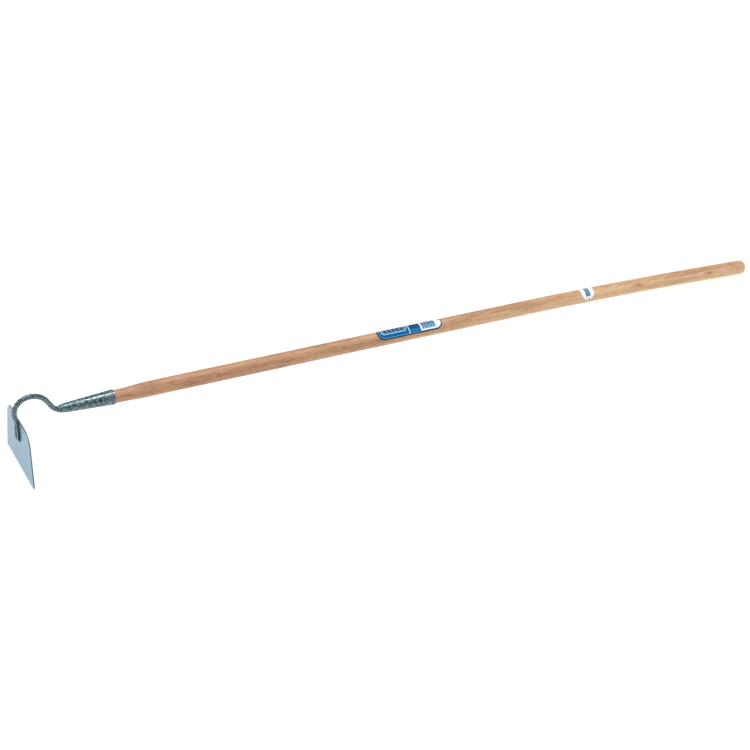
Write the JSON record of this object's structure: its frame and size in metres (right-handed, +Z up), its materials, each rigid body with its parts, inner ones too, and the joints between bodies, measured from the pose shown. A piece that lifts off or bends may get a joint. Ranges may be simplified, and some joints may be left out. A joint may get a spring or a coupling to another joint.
{
  "type": "draw hoe",
  "caption": "Draw hoe with a flared steel blade welded to a swan neck, a tapered socket and a long ash handle, for chopping and drawing soil.",
  "frame": {"origin": "on the floor below the middle of the hoe's length, lying at rest on its cutting edge and grip end", "axes": "+X along the hoe from the blade to the grip end, +Z up, Y across the blade"},
  "size_m": [1.6042, 0.1624, 0.1479],
  "materials": {
    "hammered_paint": "gloss hammer finish",
    "ash": "clear varnish",
    "zinc": "zinc plated",
    "blue_label": "printed film",
    "white_label": "printed film"
  },
  "bodies": {
    "root": {"blade": "hammered_paint", "swan_neck": "hammered_paint", "neck_weld_left": "hammered_paint", "neck_weld_right": "hammered_paint", "neck_weld_foot": "hammered_paint", "socket": "hammered_paint", "socket_weld": "hammered_paint", "handle": "ash", "socket_nail": "zinc", "product_label": "blue_label", "size_sticker": "white_label"}
  },
  "joints": []
}
